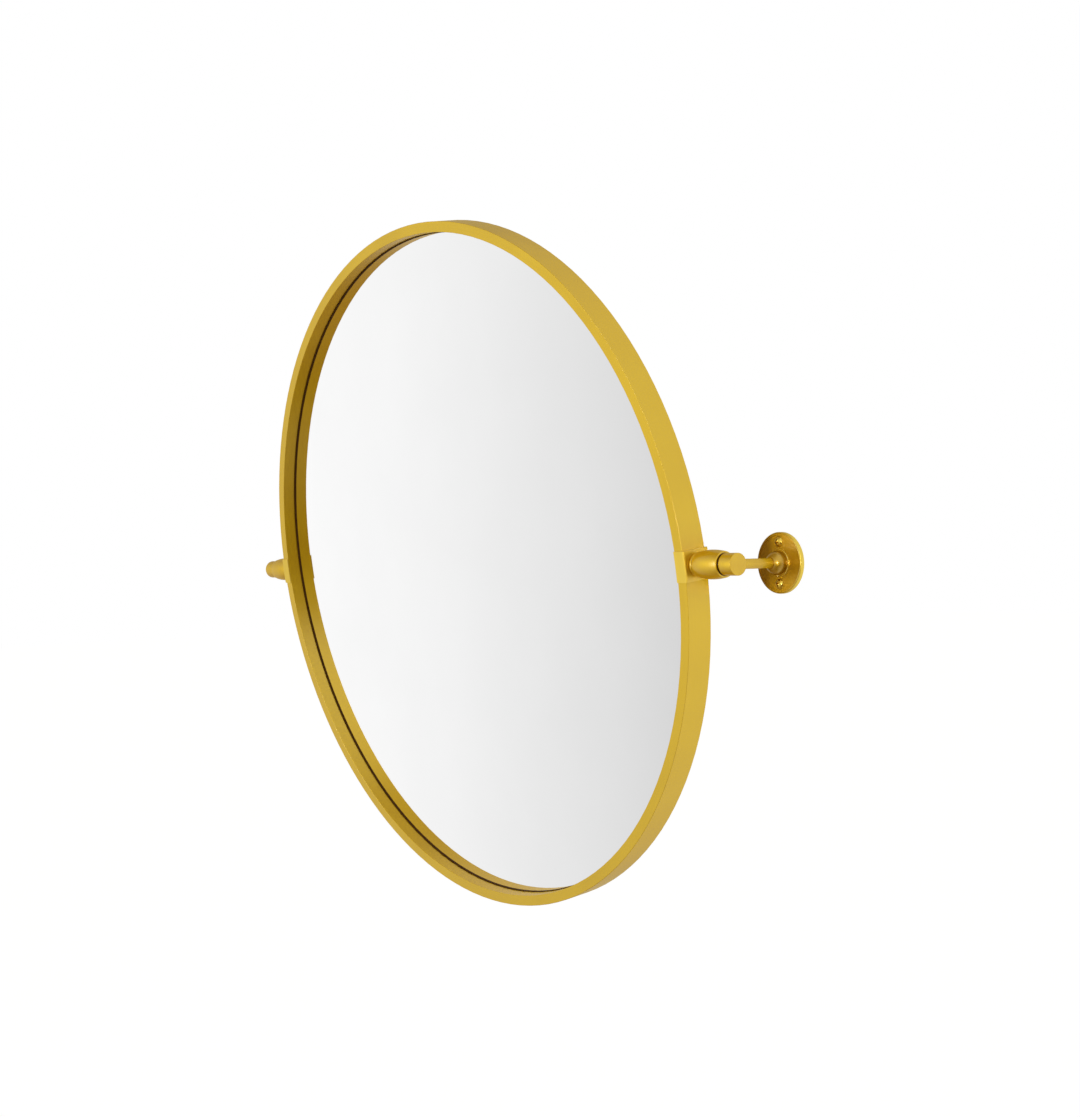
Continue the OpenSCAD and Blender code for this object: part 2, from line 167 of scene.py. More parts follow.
def on_wall(side):
    """Places a piece on the arm's axis, X pointing out from the wall and Z up."""
    on_axis = Matrix.Scale(1 / M, 4) @ Matrix.Translation((side * ARM_X, 0, 0))
    return on_axis @ Matrix.Rotation(-math.pi / 2, 4, "Z")


def mirrored(side):
    """Turns a piece drawn for the right-hand side into the one of either side."""
    return Matrix.Scale(side, 4, (1, 0, 0))


def to_rear():
    """Turns a screw drawn along X so that its head points to the mirror's rear."""
    return Matrix.Rotation(math.pi / 2, 4, "Z")


# ---------------------------------------------------------------- camera

# Angles in degrees and distances in metres; the aim is beside and above the pivots' middle.
CAMERA_AZIMUTH = 52.735
CAMERA_ELEVATION = 0.204
CAMERA_ROLL = -1.223
CAMERA_DISTANCE = 1.7910
CAMERA_AIM_RIGHT = 0.0714
CAMERA_AIM_UP = 0.0069
FOCAL_PX = 1853.9
IMAGE_H_PX = 1117
SENSOR_MM = 36


def direction(azimuth, elevation):
    """Unit vector from the object towards an azimuth and elevation in degrees."""
    az = math.radians(azimuth)
    el = math.radians(elevation)
    return Vector((math.sin(az) * math.cos(el), -math.cos(az) * math.cos(el), math.sin(el)))


def make_camera():
    """Camera at the photograph's viewing angle, its roll included."""
    az = math.radians(CAMERA_AZIMUTH)
    roll = math.radians(CAMERA_ROLL)
    back = direction(CAMERA_AZIMUTH, CAMERA_ELEVATION)
    level = Vector((math.cos(az), math.sin(az), 0))
    upright = level.cross(-back)
    right = level * math.cos(roll) + upright * math.sin(roll)
    up = upright * math.cos(roll) - level * math.sin(roll)
    place = PIVOT + level * CAMERA_AIM_RIGHT + upright * CAMERA_AIM_UP + back * CAMERA_DISTANCE
    data = bpy.data.cameras.new("camera")
    data.sensor_width = SENSOR_MM
    data.lens = FOCAL_PX / IMAGE_H_PX * SENSOR_MM
    data.clip_start = 0.05
    data.clip_end = 100
    camera = bpy.data.objects.new("camera", data)
    camera.matrix_world = Matrix((
        (right.x, up.x, back.x, place.x),
        (right.y, up.y, back.y, place.y),
        (right.z, up.z, back.z, place.z),
        (0, 0, 0, 1),
    ))
    bpy.context.scene.collection.objects.link(camera)
    bpy.context.scene.camera = camera


# ---------------------------------------------------------------- node helpers


class Nodes:
    """Short words for building a node tree."""

    def __init__(self, tree):
        self.tree = tree
        tree.nodes.clear()

    def add(self, kind, settings=None, **inputs):
        """A new node with its settings, and values or links on its inputs."""
        node = self.tree.nodes.new(kind)
        for key, value in (settings or {}).items():
            setattr(node, key, value)
        for name, value in inputs.items():
            self.set(node, name.replace("_", " "), value)
        return node

    def set(self, node, name, value):
        """Puts a value or a link on the input of that name or number."""
        socket = node.inputs[int(name)] if name.isdigit() else node.inputs[name]
        if isinstance(value, bpy.types.NodeSocket):
            self.tree.links.new(value, socket)
        else:
            socket.default_value = value

    def math(self, operation, a, b=0.0, c=0.0):
        node = self.add("ShaderNodeMath", {"operation": operation})
        for i, value in enumerate((a, b, c)):
            self.set(node, str(i), value)
        return node.outputs[0]

    def plus(self, a, b):
        return self.math("ADD", a, b)

    def times(self, a, b):
        return self.math("MULTIPLY", a, b)

    def length(self, a, b):
        """Length of a flat vector from its two parts."""
        return self.math("SQRT", self.plus(self.math("POWER", a, 2.0), self.math("POWER", b, 2.0)))

    def weighted(self, a, weight_a, b, weight_b):
        """Weighted sum of two values."""
        return self.plus(self.times(a, weight_a), self.times(b, weight_b))

    def mix(self, factor, first, second):
        """The first colour where the factor is 0, the second where it is 1."""
        node = self.add("ShaderNodeMix", {"data_type": "RGBA"})
        for name, value in (("0", factor), ("6", first), ("7", second)):
            self.set(node, name, value)
        return node.outputs[2]

    def noise(self, vector, scale, detail=3.0, roughness=0.5):
        node = self.add("ShaderNodeTexNoise", Vector=vector, Scale=scale, Detail=detail,
                        Roughness=roughness)
        return node.outputs["Fac"]

    def ramp(self, fac, stops):
        """Colour ramp from (position, colour) stops."""
        node = self.add("ShaderNodeValToRGB", Fac=fac)
        elements = node.color_ramp.elements
        while len(elements) > 1:
            elements.remove(elements[-1])
        elements[0].position, first = stops[0]
        elements[0].color = rgba(first)
        for position, colour in stops[1:]:
            elements.new(position).color = rgba(colour)
        return node.outputs["Color"]

    def span(self, value, low, high, to_low=0.0, to_high=1.0):
        """Takes a value from one range to another, and keeps it inside."""
        node = self.add("ShaderNodeMapRange", Value=value)
        ends = (("From Min", low), ("From Max", high), ("To Min", to_low), ("To Max", to_high))
        for name, end in ends:
            node.inputs[name].default_value = end
        return node.outputs["Result"]

    def combine(self, x, y, z):
        node = self.add("ShaderNodeCombineXYZ", X=x, Y=y, Z=z)
        return node.outputs[0]

    def split(self, vector):
        node = self.add("ShaderNodeSeparateXYZ", Vector=vector)
        return node.outputs

    def bump(self, height, distance, strength=1.0):
        node = self.add("ShaderNodeBump", Height=height, Distance=distance, Strength=strength)
        return node.outputs["Normal"]


def rgba(colour):
    """A grey level or a colour as four numbers."""
    if isinstance(colour, (int, float)):
        return (colour, colour, colour, 1)
    return (*colour, 1)


def linear(r, g, b):
    """An sRGB colour of 0 to 255 in linear numbers."""
    parts = []
    for v in (r, g, b):
        v /= 255
        parts.append(v / 12.92 if v <= 0.04045 else ((v + 0.055) / 1.055) ** 2.4)
    return tuple(parts)


def new_material(name):
    """An empty material and the words to build its nodes."""
    material = bpy.data.materials.new(name)
    material.use_nodes = True
    nodes = Nodes(material.node_tree)
    return material, nodes


def close_material(nodes, shader):
    """Leads a shader to the material's output."""
    out = nodes.add("ShaderNodeOutputMaterial")
    nodes.tree.links.new(shader.outputs[0], out.inputs["Surface"])


# ---------------------------------------------------------------- materials

# Light and dark ends of each finish, a lighter tint painted as a highlight round the wall plates' rims and hub
# rings, and a dark tint painted as shade in the grooves beside the barrels.
GOLD_LIGHT = (0.70, 0.470, 0.007)
GOLD_DARK = (0.64, 0.415, 0.004)
CLIP_LIGHT = (0.78, 0.56, 0.05)
CLIP_DARK = (0.74, 0.51, 0.035)
TURNED_LIGHT = (0.74, 0.50, 0.010)
TURNED_DARK = (0.64, 0.40, 0.004)
PLATE_LIGHT = (0.52, 0.31, 0.004)
PLATE_DARK = (0.42, 0.24, 0.002)
RIM_HIGHLIGHT_TINT = (0.76, 0.54, 0.04)
GROOVE_SHADE = (0.15, 0.07, 0.004)
SEAL_LIGHT = (0.075, 0.030, 0.002)
SEAL_DARK = (0.050, 0.018, 0.001)

# The clear lacquer over the gold, and the tint of the metal's reflections at its edges.
COAT = 0.38
COAT_IOR = 2.1
COAT_ROUGHNESS = 0.20
EDGE_TINT = (0.84, 0.68, 0.14)

# Scales of the brushing per metre, along the mirror's circumference and across it.
BRUSH_ALONG = 12.0
BRUSH_ACROSS = 900.0

# The weld of the frame: where it is in degrees from the mirror's right, half its width in
# millimetres, and its colour.
WELD_ANGLE = -15
WELD_HALF_WIDTH = 0.9
WELD_TINT = linear(160, 122, 40)

# Fine lathe rings per metre, and the depth of their bump in metres.
RINGS = 1400.0
RING_DEPTH = 0.000012


def lacquered(n, colour, rough, normal):
    """Gold metal under a thin clear satin lacquer."""
    shader = n.add("ShaderNodeBsdfPrincipled", Metallic=1.0, Roughness=rough)
    shader.inputs["Coat Weight"].default_value = COAT
    shader.inputs["Coat Roughness"].default_value = COAT_ROUGHNESS
    shader.inputs["Coat IOR"].default_value = COAT_IOR
    shader.inputs["Specular Tint"].default_value = rgba(EDGE_TINT)
    n.set(shader, "Base Color", colour)
    n.set(shader, "Normal", normal)
    close_material(n, shader)


def tilted_coordinates(n):
    """Object coordinates turned back to the mirror's own axes: across, depth and up."""
    mapping = n.add("ShaderNodeMapping", {"vector_type": "TEXTURE"})
    mapping.inputs["Location"].default_value = PIVOT
    mapping.inputs["Rotation"].default_value = (TILT, 0, 0)
    coords = n.add("ShaderNodeTexCoord")
    n.set(mapping, "Vector", coords.outputs["Object"])
    return n.split(mapping.outputs[0])


def weld_line(n, angle, depth, radius):
    """Factor of the frame's patchy weld line, on the outer face only."""
    off_weld = n.math("ABSOLUTE", n.math("SUBTRACT", angle, math.radians(WELD_ANGLE)))
    line = n.span(off_weld, 0.0, WELD_HALF_WIDTH / FRAME_R, 1.0, 0.0)
    outer = n.math("GREATER_THAN", radius, (FRAME_R - 0.05) / M)
    patchy = n.span(n.noise(n.combine(0.0, depth, 0.0), 420.0, 2.0), 0.40, 0.60)
    return n.times(n.times(line, outer), patchy)


def brushed_ring_gold(name, light, dark, weld_strength):
    """Satin gold, brushed along the mirror's circumference, with the faint line of the frame's weld."""
    material, n = new_material(name)
    x, depth, z = tilted_coordinates(n)
    radius = n.length(x, z)
    angle = n.math("ARCTAN2", z, x)
    along = n.times(angle, FRAME_R / M)
    brushed = n.combine(n.times(along, BRUSH_ALONG), n.times(depth, BRUSH_ACROSS),
                        n.times(radius, BRUSH_ACROSS))
    grain = n.noise(brushed, 1.0, 4.0, 0.6)
    cloud = n.noise(n.combine(along, depth, radius), 22.0, 3.0)
    mottle = n.noise(n.combine(x, depth, z), 260.0, 2.0)
    weld = weld_line(n, angle, depth, radius)
    tone = n.weighted(grain, 0.45, cloud, 0.55)
    colour = n.ramp(tone, [(0.32, dark), (0.68, light)])
    welded = n.mix(n.times(weld, weld_strength), colour, rgba(WELD_TINT))
    rough = n.span(n.plus(grain, n.times(cloud, 0.6)), 0.5, 1.1, 0.40, 0.50)
    height = n.weighted(grain, 0.5, mottle, 0.25)
    height = n.plus(height, n.times(weld, 2 * weld_strength))
    lacquered(n, welded, rough, n.bump(height, 0.00002, 0.5))
    return material


def turned(n, ring, cloud_vector, light, dark):
    """Fine lathe rings along an axis and a little clouding: the rings, the tone and the colour."""
    rings = n.noise(n.combine(n.times(ring, RINGS), 0.0, 0.0), 1.0, 3.0, 0.65)
    cloud = n.noise(cloud_vector, 130.0, 3.0)
    tone = n.weighted(rings, 0.6, cloud, 0.4)
    return rings, tone, n.ramp(tone, [(0.35, dark), (0.65, light)])


def turned_gold(name):
    """Gold of the parts on the pivot axis, with painted shade darkening the grooves beside the barrels."""
    material, n = new_material(name)
    coords = n.add("ShaderNodeTexCoord")
    x, y, z = n.split(coords.outputs["Object"])
    rings, tone, colour = turned(n, x, coords.outputs["Object"], TURNED_LIGHT, TURNED_DARK)
    radius = n.length(n.math("SUBTRACT", y, PIVOT.y), z)
    # Painted shade: the gold inside the grooves beside each barrel is darkened to a deep brown, where shadow falls
    # between the parts.
    deep = n.span(radius, (GROOVE_TOP_R - 0.2) / M, (GROOVE_TOP_R + 0.1) / M, 1.0, 0.0)
    off = n.math("ABSOLUTE", x)
    inner = n.math("COMPARE", off, (BARREL_X + 0.2) / M, 0.9 / M)
    outer = n.math("COMPARE", off, (BARREL_END_X - 0.4) / M, 0.8 / M)
    groove_shade = n.times(deep, n.plus(inner, outer))
    rough = n.span(tone, 0.3, 0.7, 0.46, 0.54)
    lacquered(n, n.mix(groove_shade, colour, rgba(GROOVE_SHADE)), rough, n.bump(rings, RING_DEPTH, 0.5))
    return material


def plate_gold(name):
    """Darker gold of the wall plates, with a painted highlight as a lighter tint round the rim and the ring of the
    hub.
    """
    material, n = new_material(name)
    coords = n.add("ShaderNodeTexCoord")
    x, y, z = n.split(coords.outputs["Object"])
    rings, tone, colour = turned(n, y, coords.outputs["Object"], PLATE_LIGHT, PLATE_DARK)
    radius = n.length(n.math("SUBTRACT", n.math("ABSOLUTE", x), ARM_X / M), z)
    # Painted highlight: a lighter tint round the plate's rim and the ring of its hub.
    rim = n.span(radius, (PLATE_R - 1.1) / M, (PLATE_R - 0.4) / M)
    ring = n.math("COMPARE", radius, (HUB_RING_R - 0.1) / M, 0.35 / M)
    rim_and_ring_highlight = n.plus(rim, n.times(ring, 0.7))
    rough = n.span(tone, 0.3, 0.7, 0.36, 0.44)
    lacquered(n, n.mix(rim_and_ring_highlight, colour, rgba(RIM_HIGHLIGHT_TINT)), rough, n.bump(rings, RING_DEPTH, 0.5))
    return material


def screw_gold(name):
    """Smoother, brighter gold of the wall screws."""
    material, n = new_material(name)
    coords = n.add("ShaderNodeTexCoord")
    x, y, z = n.split(coords.outputs["Object"])
    rings, tone, colour = turned(n, y, coords.outputs["Object"], CLIP_LIGHT, TURNED_DARK)
    lacquered(n, colour, n.span(tone, 0.3, 0.7, 0.14, 0.24), n.bump(rings, RING_DEPTH, 0.5))
    return material


def mirror_silver():
    """Mirror glass: a clean reflecting face, with dull paint on the back and edge."""
    material, n = new_material("mirror")
    x, depth, z = tilted_coordinates(n)
    haze = n.noise(n.combine(x, depth, z), 9.0, 4.0)
    front = n.math("LESS_THAN", depth, (GLASS_FRONT - PIVOT_DEPTH + 0.3) / M)
    silver = n.ramp(haze, [(0.3, 0.955), (0.7, 0.975)])
    colour = n.mix(front, rgba(linear(96, 106, 104)), silver)
    rough = n.math("SUBTRACT", 0.45, n.times(front, 0.435))
    rough = n.plus(rough, n.times(haze, 0.01))
    shader = n.add("ShaderNodeBsdfPrincipled", Metallic=front, Roughness=rough)
    n.set(shader, "Base Color", colour)
    close_material(n, shader)
    return material


def grained(name, light, dark, scale, rough, stretch=(1, 1, 1), metallic=0.0, specular=0.5):
    """Material with a stretched grain, for seal, board, foam, plastic, steel and bronze."""
    material, n = new_material(name)
    coords = n.add("ShaderNodeTexCoord")
    x, y, z = n.split(coords.outputs["Object"])
    stretched = n.combine(n.times(x, stretch[0]), n.times(y, stretch[1]), n.times(z, stretch[2]))
    coarse = n.noise(stretched, scale, 5.0, 0.6)
    fine = n.noise(stretched, scale * 6, 3.0, 0.6)
    tone = n.weighted(coarse, 0.6, fine, 0.4)
    shader = n.add("ShaderNodeBsdfPrincipled", Metallic=metallic)
    shader.inputs["Specular IOR Level"].default_value = specular
    n.set(shader, "Base Color", n.ramp(tone, [(0.32, dark), (0.68, light)]))
    n.set(shader, "Roughness", n.span(tone, 0.3, 0.7, rough[0], rough[1]))
    n.set(shader, "Normal", n.bump(tone, 0.00005, 0.6))
    close_material(n, shader)
    return material


def make_materials():
    """One material for each slot of the record, and a lighter gold for the clips."""
    grey = linear(190, 190, 190), linear(150, 150, 152)
    bronze = linear(182, 140, 84), linear(150, 110, 62)
    fibre = linear(158, 126, 88), linear(120, 92, 60)
    white = linear(238, 238, 234), linear(214, 214, 208)
    black = linear(50, 46, 42), linear(32, 30, 28)
    return {
        "frame_gold": brushed_ring_gold("frame_gold", GOLD_LIGHT, GOLD_DARK, 0.35),
        "clip_gold": brushed_ring_gold("clip_gold", CLIP_LIGHT, CLIP_DARK, 0.0),
        "turned_gold": turned_gold("turned_gold"),
        "plate_gold": plate_gold("plate_gold"),
        "screw_gold": screw_gold("screw_gold"),
        "mirror": mirror_silver(),
        "seal": grained("seal", SEAL_LIGHT, SEAL_DARK, 400, (0.6, 0.7), specular=0.08),
        "board": grained("board", *fibre, 240, (0.75, 0.9), stretch=(1, 1, 1.6)),
        "foam": grained("foam", *white, 900, (0.85, 0.95)),
        "steel": grained("steel", *grey, 500, (0.28, 0.4), stretch=(1, 3, 1), metallic=1.0),
        "bush": grained("bush", *bronze, 1500, (0.35, 0.5), metallic=1.0),
        "nylon": grained("nylon", *black, 900, (0.45, 0.6)),
    }


# ---------------------------------------------------------------- turned and screwed pieces

SHARP_ANGLE = 35


def fillet(corners, steps=4):
    """A closed outline from (along, radius, rounding) corners."""
    points = []
    for i, (x, r, rounding) in enumerate(corners):
        corner = Vector((x, r))
        if rounding == 0:
            points.append(corner)
            continue
        to_last = Vector(corners[i - 1][:2]) - corner
        to_next = Vector(corners[(i + 1) % len(corners)][:2]) - corner
        start = corner + to_last.normalized() * min(rounding, to_last.length / 2)
        end = corner + to_next.normalized() * min(rounding, to_next.length / 2)
        for k in range(steps + 1):
            t = k / steps
            points.append(start * (1 - t) ** 2 + corner * 2 * t * (1 - t) + end * t ** 2)
    return points


def lathe(bm, profile, segments=128):
    """Turns a closed outline of (along, radius) points round the X axis."""
    ring = [bm.verts.new((p[0], p[1], 0)) for p in profile]
    edges = [bm.edges.new(pair) for pair in zip(ring, ring[1:] + ring[:1])]
    bmesh.ops.spin(bm, geom=ring + edges, cent=(0, 0, 0), axis=(1, 0, 0), angle=2 * math.pi,
                   steps=segments, use_merge=True)
    bmesh.ops.remove_doubles(bm, verts=bm.verts, dist=1e-5)
    bmesh.ops.recalc_face_normals(bm, faces=bm.faces)


def make_piece(node, bm, place, material, body):
    """Turns a mesh drawn in millimetres into the dressed form of one node."""
    bm.transform(place)
    bmesh.ops.recalc_face_normals(bm, faces=bm.faces)
    mesh = bpy.data.meshes.new(node + "_visual")
    bm.to_mesh(mesh)
    bm.free()
    mesh.shade_smooth()
    mesh.set_sharp_from_angle(angle=math.radians(SHARP_ANGLE))
    mesh.materials.append(material)
    obj = bpy.data.objects.new(node + "_visual", mesh)
    bpy.context.scene.collection.objects.link(obj)
    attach(obj, body)
    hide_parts(node)
    return obj


def barrel_radius(x):
    """Swelling of the barrel: an arc, with three fine turned lines near its outer end."""
    half = (BARREL_END_X - BARREL_X) / 2
    swell = BARREL_R - BARREL_END_R
    arc_r = (half * half + swell * swell) / (2 * swell)
    off = x - BARREL_X - half
    radius = BARREL_R - arc_r + math.sqrt(arc_r * arc_r - off * off)
    for line in BARREL_LINES:
        radius -= LINE_DEPTH * math.exp(-((x - BARREL_END_X + GROOVE_W + line) / LINE_WIDTH) ** 2)
    return radius


def make_barrel(side, material):
    """Barrel between two grooves, its end faces softly broken, with a recess for the washer."""
    start = BARREL_X + GROOVE_W
    end = BARREL_END_X - GROOVE_W
    face_r = barrel_radius(start + BARREL_EDGE) - BARREL_EDGE
    turns = [math.pi / 2 * k / 6 for k in reversed(range(6))]
    edge = [(BARREL_EDGE * (1 - math.sin(t)), BARREL_EDGE * (1 - math.cos(t))) for t in turns]
    profile = [(BARREL_X, SPIGOT_R), (BARREL_X, GROOVE_R), (start, GROOVE_R)]
    profile += [(start + x, face_r + BARREL_EDGE - r) for x, r in edge]
    for k in range(1, BARREL_STEPS):
        x = start + BARREL_EDGE + (end - start - 2 * BARREL_EDGE) * k / BARREL_STEPS
        profile.append((x, barrel_radius(x)))
    profile += [(end - x, face_r + BARREL_EDGE - r) for x, r in reversed(edge)]
    profile += [(end, GROOVE_R), (BARREL_END_X, GROOVE_R)]
    profile += [(BARREL_END_X, WASHER_R), (BARREL_END_X - WASHER_RECESS, WASHER_R)]
    profile += [(BARREL_END_X - WASHER_RECESS, SPIGOT_R)]
    bm = bmesh.new()
    lathe(bm, profile)
    place = on_mirror_pivot() @ mirrored(side)
    make_piece(f"pivot_barrel_{SIDE_NAMES[side]}", bm, place, material, TILTING)


def make_post(side, material):
    """Post with softly broken edges, and a hole for the pin."""
    corners = [(POST_X, PIN_R, 0), (POST_X, POST_R, POST_INNER_EDGE)]
    corners += [(POST_END_X, POST_R, POST_OUTER_EDGE), (POST_END_X, 0, 0)]
    corners += [(POST_X + PIN_DEPTH, 0, 0), (POST_X + PIN_DEPTH, PIN_R, 0)]
    bm = bmesh.new()
    lathe(bm, fillet(corners))
    place = on_fixed_pivot() @ mirrored(side)
    make_piece(f"pivot_post_{SIDE_NAMES[side]}", bm, place, material, FIXED)


def make_collar(side, material):
    """Collar: a bead over a plain seat that follows the clip, and the spigot inside the barrel."""
    bead_r = (BARREL_X - CLIP_X) / 2
    seat_r = COLLAR_R - bead_r - SEAT_STEP
    spigot_r = SPIGOT_R - SPIGOT_GAP
    spigot_end = BARREL_X + SPIGOT_L
    profile = [(COLLAR_X, 0), (COLLAR_X, seat_r), (CLIP_X - SEAT_SHY, seat_r)]
    for k in range(17):
        turn = math.pi * k / 16
        along = CLIP_X + bead_r - bead_r * math.cos(turn)
        profile.append((along, COLLAR_R - bead_r * (1 - math.sin(turn))))
    profile += [(BARREL_X, spigot_r), (spigot_end, spigot_r), (spigot_end, 0)]
    bm = bmesh.new()
    lathe(bm, profile)
    place = on_mirror_pivot() @ mirrored(side)
    make_piece(f"clip_collar_{SIDE_NAMES[side]}", bm, place, material, TILTING)


def screw_head(bm, radius, height, drive_span, drive_depth):
    """Domed head standing on X = 0, with a tapered cross drive."""
    ball_r = (radius * radius + height * height) / (2 * height)
    profile = [(0, 0)]
    edge = HEAD_EDGE * height
    profile += [(0, radius - edge), (edge / 2, radius - edge / 4)]
    for k in range(HEAD_STEPS + 1):
        r = (radius - edge / 2) * (1 - k / HEAD_STEPS)
        profile.append((height - ball_r + math.sqrt(ball_r * ball_r - r * r), r))
    lathe(bm, profile, 48)
    head = bpy.data.meshes.new("head")
    bm.to_mesh(head)
    cutter = bmesh.new()
    top = height + 0.5
    for turn in (0, math.pi / 2):
        wing = bmesh.ops.create_cube(cutter, size=1)["verts"]
        for v in wing:
            high = v.co.x > 0
            v.co.y *= drive_span if high else drive_span * DRIVE_FLOOR
            v.co.z *= drive_span * (DRIVE_WING if high else DRIVE_WING_FLOOR)
            v.co.x = top if high else height - drive_depth
        bmesh.ops.rotate(cutter, verts=wing, matrix=Matrix.Rotation(turn, 3, "X"))
    tool = bpy.data.meshes.new("drive")
    cutter.to_mesh(tool)
    cutter.free()
    head_obj = bpy.data.objects.new("head", head)
    tool_obj = bpy.data.objects.new("drive", tool)
    for obj in (head_obj, tool_obj):
        bpy.context.scene.collection.objects.link(obj)
    cut = head_obj.modifiers.new("drive", "BOOLEAN")
    cut.operation = "DIFFERENCE"
    cut.solver = "EXACT"
    cut.use_self = True
    cut.object = tool_obj
    graph = bpy.context.evaluated_depsgraph_get()
    cut_mesh = bpy.data.meshes.new_from_object(head_obj.evaluated_get(graph))
    bm.clear()
    bm.from_mesh(cut_mesh)
    for obj in (head_obj, tool_obj):
        bpy.data.objects.remove(obj)
    for mesh in (head, tool, cut_mesh):
        bpy.data.meshes.remove(mesh)


def thread(bm, radius, length, pitch, tip=0.0, around=28):
    """Helical ridge on a shank that runs back from X = 0, with a tapered tip."""
    rows = int(length / pitch * ROWS_PER_TURN)
    grid = []
    for i in range(rows + 1):
        x = -length * i / rows
        row = []
        for j in range(around):
            phase = (-x / pitch - j / around) % 1
            ridge = 1 - abs(2 * phase - 1)
            run_out = min(1, -x / pitch)
            taper = min(1, (x + length) / tip) if tip else 1
            r = radius * (1 - THREAD_DEPTH * (1 - ridge) * run_out)
            r *= TIP_END + (1 - TIP_END) * taper
            turn = 2 * math.pi * j / around
            row.append(bm.verts.new((x, r * math.cos(turn), r * math.sin(turn))))
        grid.append(row)
    for upper, lower in zip(grid, grid[1:]):
        for j in range(around):
            k = (j + 1) % around
            bm.faces.new((upper[j], upper[k], lower[k], lower[j]))
    bm.faces.new(grid[0])
    bm.faces.new(grid[-1])


def make_screws(node, places, body, material, head, shank):
    """All screws of one node from one pattern."""
    pattern = bmesh.new()
    screw_head(pattern, **head)
    thread(pattern, **shank)
    mesh = bpy.data.meshes.new("pattern")
    pattern.to_mesh(mesh)
    pattern.free()
    bm = bmesh.new()
    for place in places:
        known = len(bm.verts)
        bm.from_mesh(mesh)
        bm.verts.ensure_lookup_table()
        bmesh.ops.transform(bm, matrix=place, verts=bm.verts[known:])
    bpy.data.meshes.remove(mesh)
    make_piece(node, bm, Matrix.Identity(4), material, body)


def make_wall_screws(side, material):
    """The two screws through one wall plate."""
    places = []
    for z, turn in zip((-SCREW_PITCH / 2, SCREW_PITCH / 2), WALL_TURNS):
        place = on_wall(side) @ Matrix.Translation((PLATE_FACE, 0, z))
        places.append(place @ Matrix.Rotation(turn, 4, "X"))
    make_screws(f"wall_screws_{SIDE_NAMES[side]}", places, FIXED, material, WALL_HEAD, WALL_SHANK)


def make_clip_screws(side, material):
    """The two screws through the rear leg of one clip, each turned another way."""
    places = []
    for z in (-CLIP_SCREW_PITCH / 2, CLIP_SCREW_PITCH / 2):
        place = on_mirror() @ Matrix.Translation((side * (FRAME_R - FRAME_W / 2), CLIP_REAR, z))
        places.append(place @ to_rear() @ Matrix.Rotation(0.7 + z, 4, "X"))
    make_screws(f"clip_screws_{SIDE_NAMES[side]}", places, TILTING, material, CLIP_HEAD, CLIP_SHANK)


def tab_turns():
    """The eight directions of the support tabs, in degrees from the mirror's right."""
    return [quarter * 90 + angle for quarter in range(4) for angle in TAB_ANGLES]


def make_board_screws(material):
    """One screw through each support tab, each turned another way."""
    places = []
    for a in tab_turns():
        place = on_mirror() @ Matrix.Rotation(math.radians(a), 4, "Y")
        place = place @ Matrix.Translation((BOARD_SCREW_R, TAB_REAR, 0))
        places.append(place @ to_rear() @ Matrix.Rotation(a, 4, "X"))
    make_screws("board_screws", places, TILTING, material, BOARD_HEAD, BOARD_SHANK)


def make_pieces(m):
    """Every piece that stands for a CAD node."""
    for side in SIDE_NAMES:
        make_barrel(side, m["turned_gold"])
        make_post(side, m["turned_gold"])
        make_collar(side, m["turned_gold"])
        make_wall_screws(side, m["screw_gold"])
        make_clip_screws(side, m["steel"])
    make_board_screws(m["steel"])


# ---------------------------------------------------------------- studio

# The floor: its height and size in metres, its own pale grey, the white that the camera sees
# there, and the share of that white.
FLOOR_Z = -1.45
FLOOR_SIZE = 60
FLOOR_GREY = 0.88
FLOOR_WHITE = 1.12
FLOOR_SHARE = 0.72

WARM = (0.26, 0.16, 0.05)
WARM_LEVEL = (0.36, 0.26, 0.14)
SHADE = (0.48, 0.36, 0.20)

# The studio as (azimuth, brightness or colour) stops, from the wall's front with +90 to the right,
# in five bands of height from the ground to the top. The stretch from -60 to -46 shows in the glass.
IN_GLASS = [(-60, 1.0), (-55.8, 0.947), (-49.8, 0.787), (-46, 0.67)]
CARD = [(-43, 0.78), (-34, 0.95), (-10, 0.95), (20, 0.80)]
SKY_GROUND = [(-180, 1.00), (-140, 0.90), (-100, SHADE), (0, SHADE), (50, WARM), (90, 0.90), (180, 1.00)]
SKY_LOW = [(-180, 1.00), (-130, 0.70), *IN_GLASS, *CARD, (42, WARM), (72, WARM), (110, 1.08), (180, 1.00)]
SKY_LEVEL = [(-180, 1.00), (-130, 0.46), (-108, 0.95), *IN_GLASS, *CARD, (44, WARM_LEVEL),
             (72, WARM_LEVEL), (100, 1.15), (150, 1.15), (180, 1.00)]
SKY_HIGH = [(-180, 0.86), (-130, 0.48), (-60, 0.90), (-36, 0.84), (58, 1.10), (110, 1.05), (180, 0.86)]
SKY_TOP = [(-180, 0.90), (-130, 0.70), (-90, SHADE), (-10, SHADE), (50, 1.15), (110, 1.0), (180, 0.90)]

# How far the bands turn with height, as the mirror leans.
LEAN = 0.234


